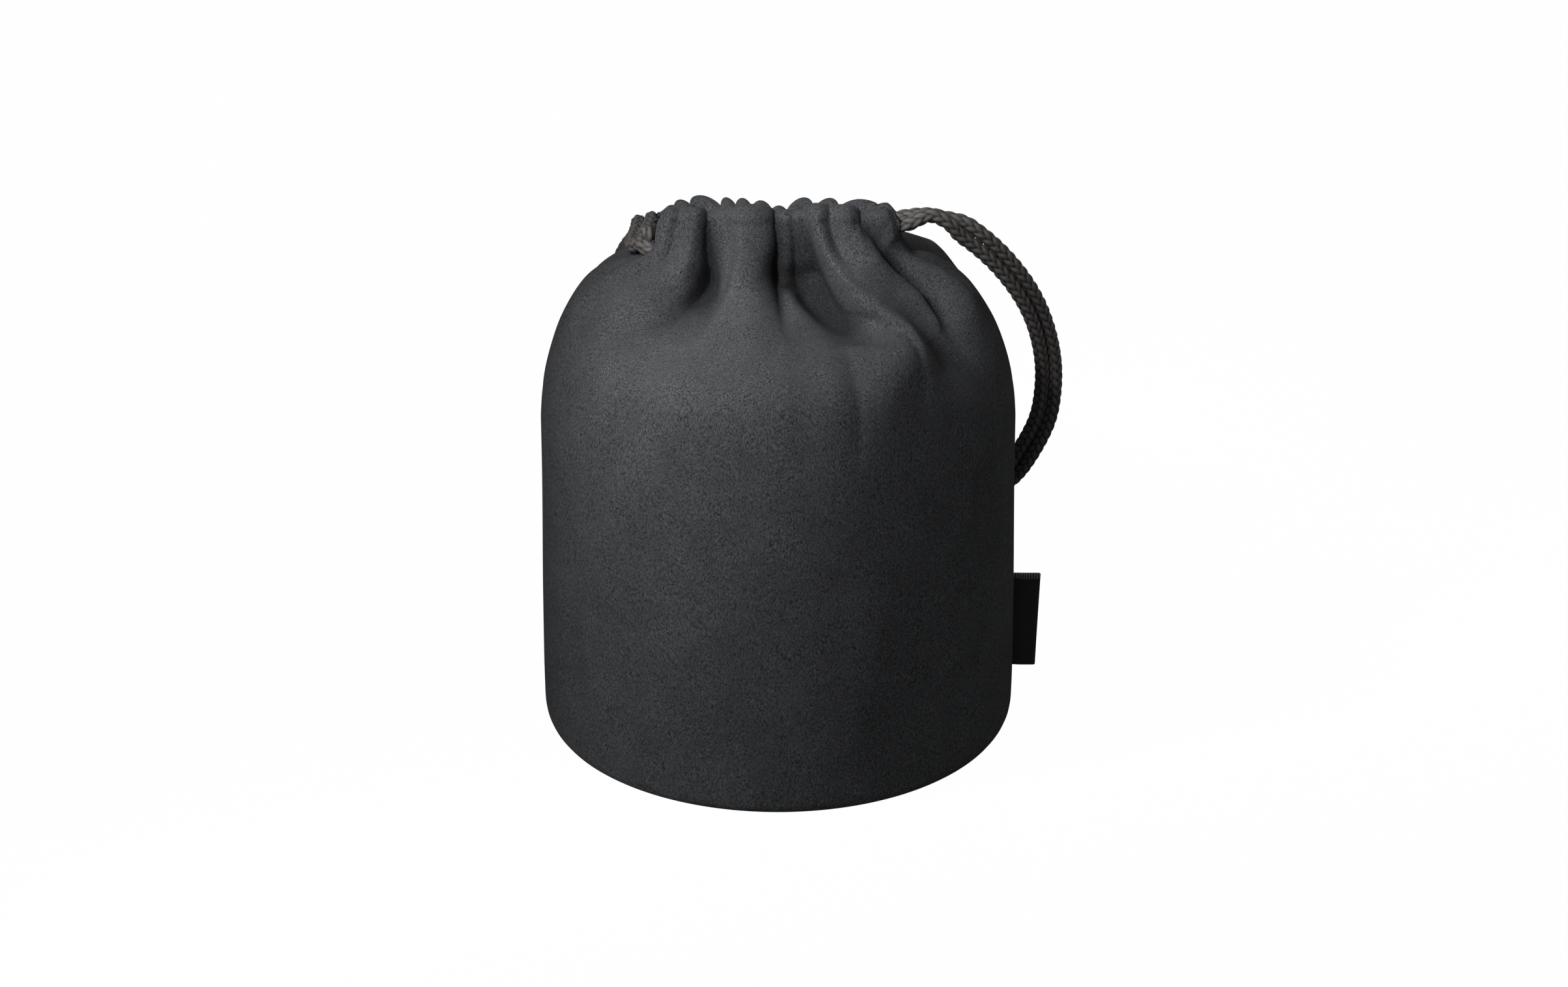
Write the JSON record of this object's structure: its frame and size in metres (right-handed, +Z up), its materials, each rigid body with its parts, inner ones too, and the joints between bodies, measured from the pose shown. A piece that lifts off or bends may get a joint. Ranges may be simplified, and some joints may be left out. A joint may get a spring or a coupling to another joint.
{
  "type": "lens pouch",
  "caption": "Round padded drawstring pouch in dark suede cloth, with a gathered mouth that opens in two lips, braided drawcords and a folded side label.",
  "frame": {"origin": "middle of the base on the surface that the pouch stands on", "axes": "+Z up, the front faces -Y, the label and the right cord are on +X"},
  "size_m": [0.1104, 0.1, 0.12],
  "materials": {
    "suede": "short-napped microfibre suede",
    "foam": "open-cell foam",
    "lining": "brushed knit",
    "cord": "round braid",
    "woven_tape": "satin-woven tape"
  },
  "bodies": {
    "pouch": {"front_panel": "suede", "back_panel": "suede", "front_wall_foam": "foam", "back_wall_foam": "foam", "front_wall_lining": "lining", "back_wall_lining": "lining", "base_disc": "suede", "base_pad": "foam", "base_lining": "lining", "label_tail": "woven_tape", "right_cord_turn": "cord", "left_cord_turn": "cord"},
    "front_lip": {"front_gather": "suede", "front_casing": "suede", "right_cord_front_run": "cord", "left_cord_front_run": "cord"},
    "back_lip": {"back_gather": "suede", "back_casing": "suede", "right_cord_back_run": "cord", "left_cord_back_run": "cord"},
    "right_pull": {"right_front_exit": "cord", "right_back_exit": "cord"},
    "right_loop": {"right_front_strand": "cord", "right_back_strand": "cord", "right_knot": "cord"},
    "left_pull": {"left_front_exit": "cord", "left_back_exit": "cord"},
    "left_loop": {"left_front_strand": "cord", "left_back_strand": "cord", "left_knot": "cord"},
    "label": {"label_flap": "woven_tape"}
  },
  "joints": [
    {"name": "front_lip_hinge", "type": "hinge", "parent": "pouch", "child": "front_lip", "pos_m": [0, -0.047, 0.08185], "axis": [1, 0, 0], "range_deg": [0, 45]},
    {"name": "back_lip_hinge", "type": "hinge", "parent": "pouch", "child": "back_lip", "pos_m": [0, 0.047, 0.08185], "axis": [-1, 0, 0], "range_deg": [0, 45]},
    {"name": "right_cord_pull", "type": "slide", "parent": "pouch", "child": "right_pull", "axis": [1, 0, 0], "range_m": [0, 0.006]},
    {"name": "right_cord_swing", "type": "hinge", "parent": "right_pull", "child": "right_loop", "pos_m": [0.03115, 0, 0.1177], "axis": [0, -1, 0], "range_deg": [0, 60]},
    {"name": "left_cord_pull", "type": "slide", "parent": "pouch", "child": "left_pull", "axis": [-1, 0, 0], "range_m": [0, 0.006]},
    {"name": "left_cord_swing", "type": "hinge", "parent": "left_pull", "child": "left_loop", "pos_m": [-0.03115, 0, 0.1126], "axis": [0, 1, 0], "range_deg": [0, 60]},
    {"name": "label_bend", "type": "hinge", "parent": "pouch", "child": "label", "pos_m": [0.0506, 0, 0.0204], "axis": [0, 0, 1], "range_deg": [-50, 50]}
  ],
  "couplings": [
    {"joint": "back_lip_hinge", "follows": "front_lip_hinge", "ratio": 1}
  ]
}
